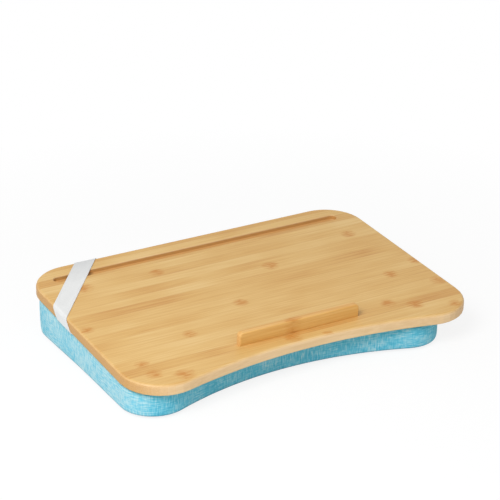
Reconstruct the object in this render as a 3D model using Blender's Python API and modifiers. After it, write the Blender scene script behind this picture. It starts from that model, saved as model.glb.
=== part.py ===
"""Lap desk: a bamboo board with a stop ledge, a device groove and an elastic corner strap,
held by hook and loop tape on a filled cushion whose fabric cover closes with a zip.

Lengths are in metres. X runs to the sitter's right, Y away from the sitter and Z up, and the
table that the cushion stands on is at height 0. The board's own frame has its origin in the
middle of the board's underside and leans with the cushion's wedge.
"""

import math

import bmesh
import bpy
from mathutils import Matrix, Vector

# Clearances shared by all pieces
seat_gap = 0.0003
cut_overrun = 0.004

# Board
board_width = 0.508
board_depth = 0.352
board_thickness = 0.0145
board_rear_radius = 0.055
board_front_radius = 0.056
board_front_rise = 0.0245
board_top_round = 0.0040
board_bottom_round = 0.0012

# Height of the board's underside above the table, at its rear and front edges
rear_height = 0.0565
front_height = 0.0362

# Groove for a tablet or a telephone, near the rear edge
groove_end_margin = 0.030
groove_setback = 0.0350
groove_width = 0.015
groove_depth = 0.0075
groove_floor_round = 0.0015
groove_lip = 0.0008

# Stop ledge near the front edge and its screws
ledge_length = 0.179
ledge_height = 0.0185
ledge_thickness = 0.009
ledge_setback = 0.0214
ledge_corner_radius = 0.006
ledge_edge_round = 0.0016
ledge_screw_margin = 0.022
screw_count = 3
screw_shank_radius = 0.0016
screw_head_radius = 0.0036
screw_head_height = 0.0030
screw_head_rim = 0.0004
screw_sink = 0.0006
screw_grip = 0.010
screw_tip_length = 0.003
screw_slot_length = 0.0036
screw_slot_width = 0.0008
screw_slot_depth = 0.0012

# Elastic strap over the rear left corner, and its staples
strap_width = 0.025
strap_thickness = 0.001
strap_rear_clear = 0.0355
strap_side_clear = 0.060
strap_tail = 0.030
strap_side_lean = 1.05
staple_wire_radius = 0.00035
staple_crown = 0.010
staple_leg = 0.0055
staple_spacing = 0.0135
staple_inset = 0.012
staple_bend_radius = 0.0007

# Hook tape under the board and loop tape on the cushion
tape_length = 0.080
tape_width = 0.025
tape_corner_radius = 0.004
tape_side_margin = 0.038
tape_rear_margin = 0.052
tape_front_margin = 0.030
hook_thickness = 0.0010
loop_thickness = 0.0009

# Cushion outline, as overhangs of the board past it
left_overhang = 0.0005
right_overhang = 0.0375
rear_overhang = 0.0095
front_overhang = 0.0105
hollow_overhang = 0.0215
cushion_rear_radius = 0.050
cushion_front_radius = 0.047
side_draw_in = 0.0012

# Cushion cover
cloth_thickness = 0.0012
seam_inset = 0.0010
crown_rise = 0.0038
crown_run = 0.0240
liner_clearance = 0.0045
liner_thickness = 0.0006

# Zip in the rear side of the cover
zip_mouth = 0.0100
zip_end_margin = 0.0120
zip_tape_half_width = 0.0100
zip_tape_thickness = 0.0008
zip_tape_tuck = 0.0060
zip_tape_depth = 0.0018
zip_slot = 0.0014
coil_width = 0.0022
coil_thickness = 0.0014
stop_length = 0.0030
slider_length = 0.0090
slider_width = 0.0080
slider_plate = 0.0011
slider_nose = 0.0025
web_length = 0.0030
bridge_length = 0.0064
bridge_opening = 0.0026
bridge_bar = 0.0009
bridge_width = 0.0018
bridge_sink = 0.0004
pull_length = 0.0200
pull_width = 0.0068
pull_thickness = 0.0010
pull_window_length = 0.0062
pull_window_width = 0.0028

# Shape of the cushion's crown, drawn-in sides and seams
crown_step_shares = (0.0, 0.35, 0.65, 0.85, 1.0)
waist_share = 0.5
crown_power = 2.5
band_power = 4
draw_in_power = 4

# Facet counts of round shapes
corner_steps = 10
hollow_steps = 18
cushion_corner_steps = 7
cushion_side_steps = 6
cushion_rear_steps = 8
band_levels = 6
strip_levels = 4
fold_steps = 4
small_corner_steps = 3
round_steps = 16
round_segments = 3
small_round_segments = 2

# Limits for welding points, joining flat faces, rounding edges and shading them sharp
weld_distance = 0.00001
flat_angle = math.radians(0.5)
round_angle = math.radians(60)
sharp_angle = math.radians(35)

# Curve of the display colour levels
top_level = 255
curve_knee = 0.04045
curve_slope = 12.92
curve_offset = 0.055
curve_power = 2.4

# Small gaps between the board's underside and the cushion: over, between and under the tapes
tape_seats = 3

# Derived frames
board_lean = math.atan2(rear_height - front_height, board_depth)
middle_height = (rear_height + front_height) / 2
board_gap = hook_thickness + loop_thickness + tape_seats * seat_gap
strap_lift = seat_gap + strap_thickness
rear_reach = ((board_depth / 2 + strap_lift) * math.cos(board_lean)
              - board_bottom_round * math.sin(board_lean))
front_reach = (board_depth / 2 * math.cos(board_lean)
               + (board_thickness - board_top_round) * math.sin(board_lean))
centre_shift = Vector((strap_lift / 2, (front_reach - rear_reach) / 2, 0))

# Cushion outline in the board's plan
cushion_left = -board_width / 2 + left_overhang
cushion_right = board_width / 2 - right_overhang
cushion_rear = board_depth / 2 - rear_overhang
cushion_front = -board_depth / 2 + front_overhang
cushion_hollow = -board_depth / 2 + board_front_rise + hollow_overhang
cushion_centre = (cushion_left + cushion_right) / 2
cushion_half_width = (cushion_right - cushion_left) / 2

# Zip places along X, between the ends of the cover's side band
zip_left = cushion_left + cushion_rear_radius + zip_end_margin
zip_right = cushion_right - cushion_rear_radius - zip_end_margin


def top_height(y):
    """Height of the cushion's flat top above the table, at one depth."""
    return middle_height + math.tan(board_lean) * y - board_gap / math.cos(board_lean)


# Height of the zip, half way up the rear side
zip_height = (crown_rise + top_height(cushion_rear)) / 2


def clear_scene():
    for old in list(bpy.data.objects):
        bpy.data.objects.remove(old, do_unlink=True)


def new_collection(name):
    collection = bpy.data.collections.new(name)
    bpy.context.scene.collection.children.link(collection)
    return collection


clear_scene()
parts = new_collection("lap_desk")
cutters = new_collection("lap_desk_cutters")


def linear(level):
    """Linear value of one 8-bit display colour level."""
    share = level / top_level
    if share <= curve_knee:
        return share / curve_slope
    return ((share + curve_offset) / (1 + curve_offset)) ** curve_power


def material(name, red, green, blue, roughness, metallic=0.0):
    made = bpy.data.materials.new(name)
    made.use_nodes = True
    shader = made.node_tree.nodes["Principled BSDF"]
    shader.inputs["Base Color"].default_value = (linear(red), linear(green), linear(blue), 1.0)
    shader.inputs["Roughness"].default_value = roughness
    shader.inputs["Metallic"].default_value = metallic
    made.diffuse_color = (linear(red), linear(green), linear(blue), 1.0)
    return made


bamboo = material("bamboo", 226, 188, 125, 0.45)
ledge_bamboo = material("ledge_bamboo", 222, 172, 98, 0.45)
turquoise_cloth = material("turquoise_cloth", 110, 190, 208, 0.9)
white_elastic = material("white_elastic", 232, 233, 236, 0.8)
white_liner = material("white_liner", 225, 224, 220, 0.9)
bead_filling = material("bead_filling", 240, 240, 238, 0.8)
hook_tape = material("hook_tape", 205, 205, 200, 0.7)
loop_tape = material("loop_tape", 215, 215, 212, 0.9)
zip_cloth = material("zip_cloth", 92, 170, 190, 0.85)
zip_nylon = material("zip_nylon", 104, 180, 198, 0.4)
steel = material("steel", 190, 190, 188, 0.3, 1.0)
zinc = material("zinc", 170, 172, 174, 0.35, 1.0)


def add_mesh(name, bm, finish, collection=parts):
    """Make an object from a bmesh, with outward faces, smooth except at its edges."""
    bmesh.ops.recalc_face_normals(bm, faces=bm.faces)
    mesh = bpy.data.meshes.new(name)
    bm.to_mesh(mesh)
    bm.free()
    mesh.shade_smooth()
    mesh.set_sharp_from_angle(angle=sharp_angle)
    made = bpy.data.objects.new(name, mesh)
    if finish:
        mesh.materials.append(finish)
    collection.objects.link(made)
    return made


def loft(name, rings, finish, collection=parts):
    """Close a skin over rings of equal length, with a flat cap on the first and the last."""
    bm = bmesh.new()
    rows = [[bm.verts.new(point) for point in ring] for ring in rings]
    count = len(rows[0])
    for low, high in zip(rows, rows[1:]):
        for i in range(count):
            j = (i + 1) % count
            bm.faces.new((low[i], low[j], high[j], high[i]))
    bm.faces.new(rows[0])
    bm.faces.new(rows[-1])
    return add_mesh(name, bm, finish, collection)


def plate(name, outlines, thickness, finish, turn=None):
    """Flat piece from closed outlines in its own plane, centred on that plane."""
    curve = bpy.data.curves.new(name, "CURVE")
    curve.dimensions = "2D"
    curve.fill_mode = "BOTH"
    curve.extrude = thickness / 2
    for outline in outlines:
        spline = curve.splines.new("POLY")
        spline.points.add(len(outline) - 1)
        spline.use_cyclic_u = True
        for point, place in zip(spline.points, outline):
            point.co = (place[0], place[1], 0, 1)
    flat = bpy.data.objects.new(name + "_curve", curve)
    if turn is not None:
        flat.matrix_world = turn
    parts.objects.link(flat)
    return mesh_from_curve(flat, name, finish)


def mesh_from_curve(source, name, finish):
    """Turn a curve object into a mesh object with welded caps and the same place."""
    bpy.context.view_layer.update()
    graph = bpy.context.evaluated_depsgraph_get()
    mesh = bpy.data.meshes.new_from_object(source.evaluated_get(graph))
    bm = bmesh.new()
    bm.from_mesh(mesh)
    bmesh.ops.remove_doubles(bm, verts=bm.verts, dist=weld_distance)
    flat = [e for e in bm.edges if len(e.link_faces) == 2 and e.calc_face_angle(0) < flat_angle]
    bmesh.ops.dissolve_edges(bm, edges=flat, use_verts=False)
    bm.transform(source.matrix_world)
    made = add_mesh(name, bm, finish)
    bpy.data.objects.remove(source, do_unlink=True)
    bpy.data.meshes.remove(mesh)
    return made


def turned(name, profile, finish, collection=parts):
    """Round piece about Z from a profile of radius and height pairs, from its top down."""
    bm = bmesh.new()
    points = [bm.verts.new((radius, 0, height)) for radius, height in profile]
    for upper, lower in zip(points, points[1:]):
        bm.edges.new((upper, lower))
    mesh = bpy.data.meshes.new(name)
    bm.to_mesh(mesh)
    bm.free()
    made = bpy.data.objects.new(name, mesh)
    if finish:
        mesh.materials.append(finish)
    collection.objects.link(made)
    screw = made.modifiers.new("turn", "SCREW")
    screw.steps = round_steps
    screw.render_steps = round_steps
    screw.use_merge_vertices = True
    screw.merge_threshold = weld_distance
    screw.use_smooth_shade = True
    return made


def box(name, low, high, finish, collection=parts):
    """Block between two corners, from the cube primitive."""
    bm = bmesh.new()
    bmesh.ops.create_cube(bm, size=1)
    size = Vector(high) - Vector(low)
    middle = (Vector(high) + Vector(low)) / 2
    bmesh.ops.scale(bm, vec=size, verts=bm.verts)
    bmesh.ops.translate(bm, vec=middle, verts=bm.verts)
    return add_mesh(name, bm, finish, collection)


def cut_all(target, holes):
    """Cut a group of cutters out of a piece in one step."""
    group = bpy.data.collections.new(target.name + "_cutters")
    cutters.children.link(group)
    for hole in holes:
        group.objects.link(hole)
        hide_cutter(hole)
    step = target.modifiers.new("cuts", "BOOLEAN")
    step.operation = "DIFFERENCE"
    step.solver = "EXACT"
    step.operand_type = "COLLECTION"
    step.collection = group


def hide_cutter(cutter):
    cutter.hide_render = True
    cutter.display_type = "WIRE"


def boolean(target, other, operation):
    step = target.modifiers.new(operation.lower(), "BOOLEAN")
    step.operation = operation
    step.solver = "EXACT"
    step.object = other
    hide_cutter(other)


def round_edges(target, width, segments):
    step = target.modifiers.new("edge", "BEVEL")
    step.width = width
    step.segments = segments
    step.limit_method = "ANGLE"
    step.angle_limit = round_angle


def arc(centre, radius, start, end, steps):
    """Points on an arc, angles in degrees, both ends included."""
    angles = [math.radians(start + (end - start) * i / steps) for i in range(steps + 1)]
    return [(centre[0] + radius * math.cos(a), centre[1] + radius * math.sin(a)) for a in angles]


def even(start, end, steps):
    """Values between start and end, both ends left out."""
    return [start + (end - start) * i / steps for i in range(1, steps)]


def frame_empty(name, matrix):
    made = bpy.data.objects.new(name, None)
    made.matrix_world = matrix
    parts.objects.link(made)
    return made


board_place = Matrix.Translation(centre_shift + Vector((0, 0, middle_height)))
board_place = board_place @ Matrix.Rotation(board_lean, 4, "X")
board_frame = frame_empty("board_frame", board_place)
cushion_frame = frame_empty("cushion_frame", Matrix.Translation(centre_shift))
cushion_top_frame = frame_empty("cushion_top_frame", board_place)


def carry(frame, *pieces):
    for piece in pieces:
        piece.parent = frame


def desk_outline(half_width, rear, front, hollow, rear_radius, front_radius,
                 corner=corner_steps, sides=1, back=1):
    """Outline seen from above, anticlockwise from the right side's front end.

    The front edge is one hollow arc that runs smoothly into the two front corner arcs. The
    counts say into how many steps a corner, a side and the rear are divided.
    """
    rise = hollow - front
    span = half_width - front_radius
    bend = (span ** 2 + (front_radius - rise) ** 2 - front_radius ** 2) / (2 * rise)
    swing = math.degrees(math.asin(span / (bend + front_radius)))
    side_end = rear - rear_radius
    side_start = front + front_radius
    rear_end = half_width - rear_radius
    points = [(half_width, y) for y in even(side_start, side_end, sides)]
    points += arc((rear_end, side_end), rear_radius, 0, 90, corner)
    points += [(x, rear) for x in even(rear_end, -rear_end, back)]
    points += arc((-rear_end, side_end), rear_radius, 90, 180, corner)
    points += [(-half_width, y) for y in even(side_end, side_start, sides)]
    points += arc((-span, side_start), front_radius, 180, 270 + swing, corner)
    points += arc((0, hollow - bend), bend, 90 + swing, 90 - swing, hollow_steps)[1:-1]
    points += arc((span, side_start), front_radius, -90 - swing, 0, corner)
    return points


def board_pieces():
    outline = desk_outline(board_width / 2, board_depth / 2, -board_depth / 2,
                           -board_depth / 2 + board_front_rise,
                           board_rear_radius, board_front_radius)
    lift = Matrix.Translation((0, 0, board_thickness / 2))
    panel = plate("board_panel", [outline], board_thickness, bamboo, lift)
    round_board_edges(panel)
    ledge = stop_ledge()
    holes = [groove_cutter()]
    pilots = []
    for name, x in zip(("left", "middle", "right"), screw_places()):
        y = ledge_front() + ledge_thickness / 2
        screw = ledge_screw("ledge_screw_" + name)
        screw.location = (x, y, 0)
        hole = screw_hole("screw_hole_" + name, True)
        hole.location = (x, y, 0)
        pilot = screw_hole("screw_pilot_" + name, False)
        pilot.location = (x, y, 0)
        holes.append(hole)
        pilots.append(pilot)
        carry(board_frame, screw, hole, pilot)
    cut_all(ledge, pilots)
    carry(board_frame, panel, ledge)
    return panel, holes


def round_board_edges(panel):
    """Round the board's upper rim more than its lower rim, by edge weights."""
    mesh = panel.data
    weights = mesh.attributes.new("bevel_weight_edge", "FLOAT", "EDGE")
    for edge in mesh.edges:
        heights = [mesh.vertices[v].co.z for v in edge.vertices]
        if min(heights) > board_thickness - seat_gap:
            weights.data[edge.index].value = 1.0
        if max(heights) < seat_gap:
            weights.data[edge.index].value = board_bottom_round / board_top_round
    step = panel.modifiers.new("edge", "BEVEL")
    step.width = board_top_round
    step.segments = round_segments
    step.limit_method = "WEIGHT"


def slot_ring(half_length, radius, height):
    """Stadium outline along X at one height."""
    straight = half_length - radius
    ring = arc((straight, 0), radius, -90, 90, corner_steps)
    ring += arc((-straight, 0), radius, 90, 270, corner_steps)
    return [(x, y, height) for x, y in ring]


def groove_cutter():
    half = board_width / 2 - groove_end_margin
    radius = groove_width / 2
    floor = board_thickness - groove_depth
    top = board_thickness + cut_overrun
    rings = [slot_ring(half - groove_floor_round, radius - groove_floor_round, floor)]
    rings += [slot_ring(half, radius, floor + groove_floor_round)]
    rings += [slot_ring(half, radius, board_thickness - groove_lip)]
    rings += [slot_ring(half + groove_lip + cut_overrun, radius + groove_lip + cut_overrun, top)]
    cutter = loft("groove_cutter", rings, None, cutters)
    cutter.location = (0, board_depth / 2 - groove_setback, 0)
    carry(board_frame, cutter)
    return cutter


def ledge_front():
    return -board_depth / 2 + board_front_rise + ledge_setback


def screw_places():
    reach = ledge_length / 2 - ledge_screw_margin
    return [-reach + 2 * reach * i / (screw_count - 1) for i in range(screw_count)]


def stop_ledge():
    """Bar with rounded upper corners, drawn in the X and Z plane."""
    half = ledge_length / 2
    low = board_thickness + seat_gap
    high = board_thickness + seat_gap + ledge_height
    radius = ledge_corner_radius
    outline = [(-half, low), (half, low)]
    outline += arc((half - radius, high - radius), radius, 0, 90, corner_steps)
    outline += arc((-half + radius, high - radius), radius, 90, 180, corner_steps)
    middle = ledge_front() + ledge_thickness / 2
    turn = Matrix.Translation((0, middle, 0)) @ Matrix.Rotation(math.radians(90), 4, "X")
    ledge = plate("stop_ledge", [outline], ledge_thickness, ledge_bamboo, turn)
    round_edges(ledge, ledge_edge_round, small_round_segments)
    return ledge


def ledge_screw(name):
    """Countersunk wood screw, head down, with a cross recess."""
    neck = screw_sink + screw_head_rim + screw_head_height
    tip = board_thickness + seat_gap + screw_grip
    profile = [(0, tip), (screw_shank_radius, tip - screw_tip_length),
               (screw_shank_radius, neck), (screw_head_radius, screw_sink + screw_head_rim),
               (screw_head_radius, screw_sink), (0, screw_sink)]
    screw = turned(name, profile, steel)
    long = screw_slot_length / 2
    short = screw_slot_width / 2
    deep = screw_sink + screw_slot_depth
    across = box(name + "_recess_x", (-long, -short, -cut_overrun), (long, short, deep), None, cutters)
    along = box(name + "_recess_y", (-short, -long, -cut_overrun), (short, long, deep), None, cutters)
    boolean(screw, across, "DIFFERENCE")
    boolean(screw, along, "DIFFERENCE")
    carry(screw, across, along)
    return screw


def screw_hole(name, countersunk):
    """Cutter that leaves the seat gap round a screw."""
    tip = board_thickness + seat_gap + screw_grip + seat_gap
    radius = screw_shank_radius + seat_gap
    profile = [(0, tip), (radius, tip)]
    if countersunk:
        neck = screw_sink + screw_head_rim + screw_head_height + seat_gap
        rim = screw_head_radius + seat_gap
        profile += [(radius, neck), (rim, screw_sink + screw_head_rim + seat_gap)]
        radius = rim
    profile += [(radius, -cut_overrun), (0, -cut_overrun)]
    return turned(name, profile, None, cutters)


def fold_path(lift):
    """Path round a board edge at one distance from the wood: inward distance and height."""
    top = board_top_round
    low = board_bottom_round
    upper = arc((-top, board_thickness - top), top + lift, 90, 0, fold_steps)
    lower = arc((-low, low), low + lift, 0, -90, fold_steps)
    return upper + lower + [(-low - strap_tail, -lift)]


def path_lengths(path):
    total = 0.0
    lengths = [total]
    for a, b in zip(path, path[1:]):
        total += math.hypot(b[0] - a[0], b[1] - a[1])
        lengths.append(total)
    return lengths


def strap_layout():
    """Middle of the strap where it meets the two folds, and its direction between them."""
    rear_x = -board_width / 2 + board_rear_radius + strap_rear_clear
    rear_y = board_depth / 2 - board_top_round
    side_x = -board_width / 2 + board_top_round
    side_y = board_depth / 2 - board_rear_radius - strap_side_clear
    run = Vector((rear_x - side_x, rear_y - side_y)).normalized()
    return (rear_x, rear_y), (side_x, side_y), run


def rear_row(out, height, length, shift=0.0):
    """Two points across the strap on the rear fold, at one length past the fold."""
    (x, _), _, run = strap_layout()
    x += length * run.x / run.y + shift
    half = strap_width / 2 / run.y
    y = board_depth / 2 + out
    return [(x - half, y, height), (x + half, y, height)]


def side_row(out, height, length, shift=0.0):
    """Two points across the strap on the left fold, at one length past the fold."""
    _, (_, y), run = strap_layout()
    y += -length * strap_side_lean + shift
    half = strap_width / 2 / run.x
    x = -board_width / 2 - out
    return [(x, y + half, height), (x, y - half, height)]


def corner_strap():
    """Flat elastic band over the rear left corner, with both tails under the board."""
    inner = fold_path(seat_gap)
    outer = fold_path(strap_lift)
    lengths = path_lengths(fold_path((seat_gap + strap_lift) / 2))
    sections = []
    for row in (rear_row, side_row):
        rows = []
        for low, high, length in zip(inner, outer, lengths):
            rows.append(row(*low, length) + row(*high, length)[::-1])
        sections.append(rows)
    rings = sections[0][::-1] + sections[1]
    return loft("corner_strap", rings, white_elastic)


def staple(name):
    """Wire staple with its crown below the origin and its legs up."""
    half = staple_crown / 2
    bend = staple_bend_radius
    points = [(-half, 0, staple_leg)]
    points += [(x, 0, z) for x, z in arc((-half + bend, bend), bend, 180, 270, small_corner_steps)]
    points += [(x, 0, z) for x, z in arc((half - bend, bend), bend, -90, 0, small_corner_steps)]
    points += [(half, 0, staple_leg)]
    curve = bpy.data.curves.new(name, "CURVE")
    curve.dimensions = "3D"
    curve.bevel_depth = staple_wire_radius
    curve.bevel_resolution = 2
    curve.use_fill_caps = True
    spline = curve.splines.new("POLY")
    spline.points.add(len(points) - 1)
    for point, place in zip(spline.points, points):
        point.co = (*place, 1)
    source = bpy.data.objects.new(name + "_curve", curve)
    parts.objects.link(source)
    return mesh_from_curve(source, name, steel)


def strap_and_staples():
    strap = corner_strap()
    holes = []
    carry(board_frame, strap)
    lengths = path_lengths(fold_path((seat_gap + strap_lift) / 2))
    under = lengths[-2] + staple_inset
    out = -board_bottom_round - staple_inset
    crown = -strap_lift - seat_gap - staple_wire_radius
    for side, row, turn in (("rear", rear_row, 0), ("side", side_row, 90)):
        for order, offset in (("first", -1), ("second", 1)):
            ends = row(out, crown, under, shift=offset * staple_spacing / 2)
            middle = (Vector(ends[0]) + Vector(ends[1])) / 2
            pin = staple("strap_staple_" + side + "_" + order)
            pin.location = middle
            pin.rotation_euler = (0, 0, math.radians(turn))
            carry(board_frame, pin)
            for leg in (-1, 1):
                hole = staple_hole(pin.name + ("_hole_low" if leg < 0 else "_hole_high"))
                hole.location = (leg * staple_crown / 2, 0, 0)
                holes.append(hole)
                carry(pin, hole)
    return strap, holes


def staple_hole(name):
    radius = staple_wire_radius + seat_gap
    top = staple_leg + seat_gap
    profile = [(0, top), (radius, top), (radius, -cut_overrun), (0, -cut_overrun)]
    hole = turned(name, profile, None, cutters)
    hole.modifiers["turn"].steps = corner_steps
    hole.modifiers["turn"].render_steps = corner_steps
    return hole


def rounded_rectangle(length, width, radius):
    x = length / 2 - radius
    y = width / 2 - radius
    outline = []
    for centre, start in (((x, y), 0), ((-x, y), 90), ((-x, -y), 180), ((x, -y), 270)):
        outline += arc(centre, radius, start, start + 90, small_corner_steps)
    return outline


def tapes():
    """Four hook tapes under the board, each over a loop tape on the cushion."""
    reach = cushion_half_width - tape_side_margin - tape_length / 2
    rear = cushion_rear - tape_rear_margin - tape_width / 2
    front = cushion_front + tape_front_margin + tape_width / 2
    hook_height = -seat_gap - hook_thickness / 2
    loop_height = -2 * seat_gap - hook_thickness - loop_thickness / 2
    outline = rounded_rectangle(tape_length, tape_width, tape_corner_radius)
    for row, y in (("rear", rear), ("front", front)):
        for side, x in (("left", cushion_centre - reach), ("right", cushion_centre + reach)):
            name = row + "_" + side
            hook = plate("hook_tape_" + name, [outline], hook_thickness, hook_tape)
            hook.location = (x, y, hook_height)
            loop = plate("loop_tape_" + name, [outline], loop_thickness, loop_tape)
            loop.location = (x, y, loop_height)
            carry(board_frame, hook)
            carry(cushion_top_frame, loop)


def cushion_ring(inset, height):
    """Cushion outline drawn in by an inset, lifted by a height function of the depth."""
    rear_radius = max(cushion_rear_radius - inset, seam_inset)
    front_radius = max(cushion_front_radius - inset, seam_inset)
    outline = desk_outline(cushion_half_width - inset, cushion_rear - inset,
                           cushion_front + inset, cushion_hollow + inset,
                           rear_radius, front_radius,
                           cushion_corner_steps, cushion_side_steps, cushion_rear_steps)
    return [(drawn_in_x(x, y) + cushion_centre, y, height(y)) for x, y in outline]


def drawn_in_x(x, y):
    """Pull the straight sides in between the corners."""
    low = cushion_front + cushion_front_radius
    high = cushion_rear - cushion_rear_radius
    share = min(max((y - low) / (high - low), 0), 1)
    pull = side_draw_in * math.sin(math.pi * share) ** 2
    return x - math.copysign(pull, x) * (abs(x) / cushion_half_width) ** draw_in_power


def band_inset(share):
    """Inset of the cover's side at a share of its height: seams in, middle out."""
    return seam_inset * abs(2 * share - 1) ** band_power


def band_low(y):
    return crown_rise + cloth_thickness + seat_gap


def band_high(y):
    return top_height(y) - cloth_thickness - seat_gap


def band_height(share):
    return lambda y: band_low(y) + share * (band_high(y) - band_low(y))


def crown_rows(start, lift):
    """Insets and heights of the crowned underside, from its flat patch to the seam."""
    rows = []
    for share in crown_step_shares:
        inset = crown_run + (start - crown_run) * share
        rows.append((inset, crown_rise * share ** crown_power + lift))
    return rows


def level(value):
    return lambda y: value


def cover_bottom():
    outer = crown_rows(seam_inset, 0)
    rings = [cushion_ring(inset, level(z)) for inset, z in outer]
    rings += [cushion_ring(inset, level(z + cloth_thickness)) for inset, z in reversed(outer)]
    return loft("cover_bottom_panel", rings, turquoise_cloth)


def cover_top():
    rings = [cushion_ring(seam_inset, lambda y: top_height(y) - cloth_thickness),
             cushion_ring(seam_inset, top_height)]
    return loft("cover_top_panel", rings, turquoise_cloth)


def wall_sections(columns):
    """Closed sections of the cover's wall along some columns of the outline."""
    shares = [i / band_levels for i in range(band_levels + 1)]
    outside = [cushion_ring(band_inset(s), band_height(s)) for s in shares]
    inside = [cushion_ring(band_inset(s) + cloth_thickness, band_height(s)) for s in shares]
    sections = []
    for i in columns:
        sections.append([ring[i] for ring in outside] + [ring[i] for ring in reversed(inside)])
    return sections


def rear_columns():
    """Columns of the outline that lie on the straight rear side, right to left."""
    first = cushion_side_steps - 1 + cushion_corner_steps
    return list(range(first, first + cushion_rear_steps + 1))


def cover_band():
    """Front and sides of the cover's wall in one strip, ending beside the zip."""
    rear = rear_columns()
    count = len(cushion_ring(0, level(0)))
    columns = list(range(rear[-1], count)) + list(range(0, rear[0] + 1))
    sections = wall_sections(columns)
    left_end = [(zip_left, y, z) for _, y, z in sections[0]]
    right_end = [(zip_right, y, z) for _, y, z in sections[-1]]
    return loft("cover_band", [left_end] + sections + [right_end], turquoise_cloth)


def share_at(height):
    """Share of the wall's height at the rear for one height above the table."""
    low = band_low(cushion_rear)
    return (height - low) / (band_high(cushion_rear) - low)


def rear_strip(name, low, high):
    """Strip of the cover's rear wall between two heights, beside the zip."""
    start = share_at(low)
    rise = share_at(high) - start
    shares = [start + rise * i / strip_levels for i in range(strip_levels + 1)]
    profile = [(cushion_rear - band_inset(s), band_height(s)(cushion_rear)) for s in shares]
    profile += [(y - cloth_thickness, z) for y, z in reversed(profile)]
    ends = (zip_left + seat_gap, zip_right - seat_gap)
    rings = [[(x, y, z) for y, z in profile] for x in ends]
    return loft(name, rings, turquoise_cloth)


def rear_strips():
    mouth = zip_mouth / 2
    upper = rear_strip("cover_rear_strip_upper", zip_height + mouth, band_high(cushion_rear))
    lower = rear_strip("cover_rear_strip_lower", band_low(cushion_rear), zip_height - mouth)
    return upper, lower


def zip_chain():
    """Two tapes behind the cover's edges, a coil row on each, and the chain's stops."""
    slot = zip_slot / 2
    far = zip_tape_half_width
    left = zip_left - zip_tape_tuck
    right = zip_right + zip_tape_tuck
    tape_out = cushion_rear - zip_tape_depth
    coil_in = tape_out + seat_gap
    coil_out = coil_in + coil_thickness
    chain_left = zip_left + seat_gap
    chain_right = zip_right - seat_gap
    pieces = []
    for side, sign in (("upper", 1), ("lower", -1)):
        heights = sorted((zip_height + sign * slot, zip_height + sign * far))
        low = (left, tape_out - zip_tape_thickness, heights[0])
        pieces.append(box("zip_tape_" + side, low, (right, tape_out, heights[1]), zip_cloth))
        heights = sorted((zip_height + sign * slot, zip_height + sign * (slot + coil_width)))
        low = (chain_left + stop_length + seat_gap, coil_in, heights[0])
        high = (chain_right - stop_length - seat_gap, coil_out, heights[1])
        pieces.append(box("zip_coil_" + side, low, high, zip_nylon))
        low = (chain_right - stop_length, coil_in, heights[0])
        stop = box("zip_top_stop_" + side, low, (chain_right, coil_out, heights[1]), zinc)
        pieces.append(stop)
    reach = slot + coil_width
    low = (chain_left, coil_in, zip_height - reach)
    high = (chain_left + stop_length, coil_out, zip_height + reach)
    pieces.append(box("zip_bottom_stop", low, high, zinc))
    return pieces


def slider_rest():
    """Middle of the slider with the zip closed."""
    return zip_right - seat_gap - stop_length - seat_gap - slider_length / 2


def slider_face():
    """Outer face of the slider's front plate, along Y."""
    coil_out = cushion_rear - zip_tape_depth + seat_gap + coil_thickness
    return coil_out + seat_gap + slider_plate


def slider_outline():
    """Shield outline of the slider's plates, nose towards the closed end."""
    half = slider_length / 2
    side = slider_width / 2
    nose = slider_nose
    return [(-half, -side + nose), (-half + nose, -side), (half - nose, -side), (half, -side + nose),
            (half, side - nose), (half - nose, side), (-half + nose, side), (-half, side - nose)]


def zip_slider():
    """Two plates joined by a web that runs in the slot between the coils, with a bridge."""
    face = slider_face()
    front_in = face - slider_plate
    back_out = cushion_rear - zip_tape_depth - zip_tape_thickness - seat_gap
    turn = Matrix.Rotation(math.radians(90), 4, "X")

    def plate_at(name, y, finish):
        place = Matrix.Translation((0, y, 0)) @ turn
        return plate(name, [slider_outline()], slider_plate, finish, place)

    front = plate_at("zip_slider", face - slider_plate / 2, zinc)
    back = plate_at("slider_back_plate", back_out - slider_plate / 2, None)
    web_half = zip_slot / 2 - seat_gap
    web_end = slider_length / 2 - slider_nose
    sink = slider_plate / 2
    web = box("slider_web", (web_end - web_length, back_out - sink, -web_half),
              (web_end, front_in + sink, web_half), None, cutters)
    bridge = bridge_arch()
    for other in (back, web, bridge):
        parts_to_cutters(other)
        boolean(front, other, "UNION")
        carry(front, other)
    front.location = (slider_rest(), 0, zip_height)
    carry(cushion_frame, front)
    return front


def parts_to_cutters(helper):
    for collection in list(helper.users_collection):
        collection.objects.unlink(helper)
    cutters.objects.link(helper)


def bridge_arch():
    """Arch that holds the pull, standing on the slider's front plate."""
    foot = slider_face() - bridge_sink
    outer = arch_line(bridge_length / 2, slider_face() + bridge_opening + bridge_bar, foot)
    inner = arch_line(bridge_length / 2 - bridge_bar, slider_face() + bridge_opening, foot)
    half = bridge_width / 2
    rings = []
    for out, into in zip(outer, inner):
        rings.append([(*out, half), (*out, -half), (*into, -half), (*into, half)])
    return loft("slider_bridge", rings, None)


def arch_line(half, top, foot):
    """Arch with cut corners in the X and Y plane, from its right foot to its left foot."""
    cut = bridge_bar / 2
    right = [(half, foot), (half, top - cut), (half - cut, top)]
    return right + [(-x, y) for x, y in reversed(right)]


def zip_pull():
    """Flat pull with a window round the bridge, turning on its end bar."""
    bar = pull_thickness / 2
    end = pull_length - pull_width / 2
    side = pull_width / 2
    outline = [(bar, -side), (bar, side)] + arc((-end, 0), side, 90, 270, corner_steps)
    window_end = -bar - pull_window_length
    half = pull_window_width / 2
    window = [(-bar, -half), (-bar, half), (window_end, half), (window_end, -half)]
    turn = Matrix.Rotation(math.radians(90), 4, "X")
    pull = plate("zip_pull", [outline, window], pull_thickness, zinc, turn)
    hinge = slider_face() + bridge_opening / 2
    pull.location = (slider_rest(), hinge, zip_height)
    carry(cushion_frame, pull)
    return pull


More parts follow.
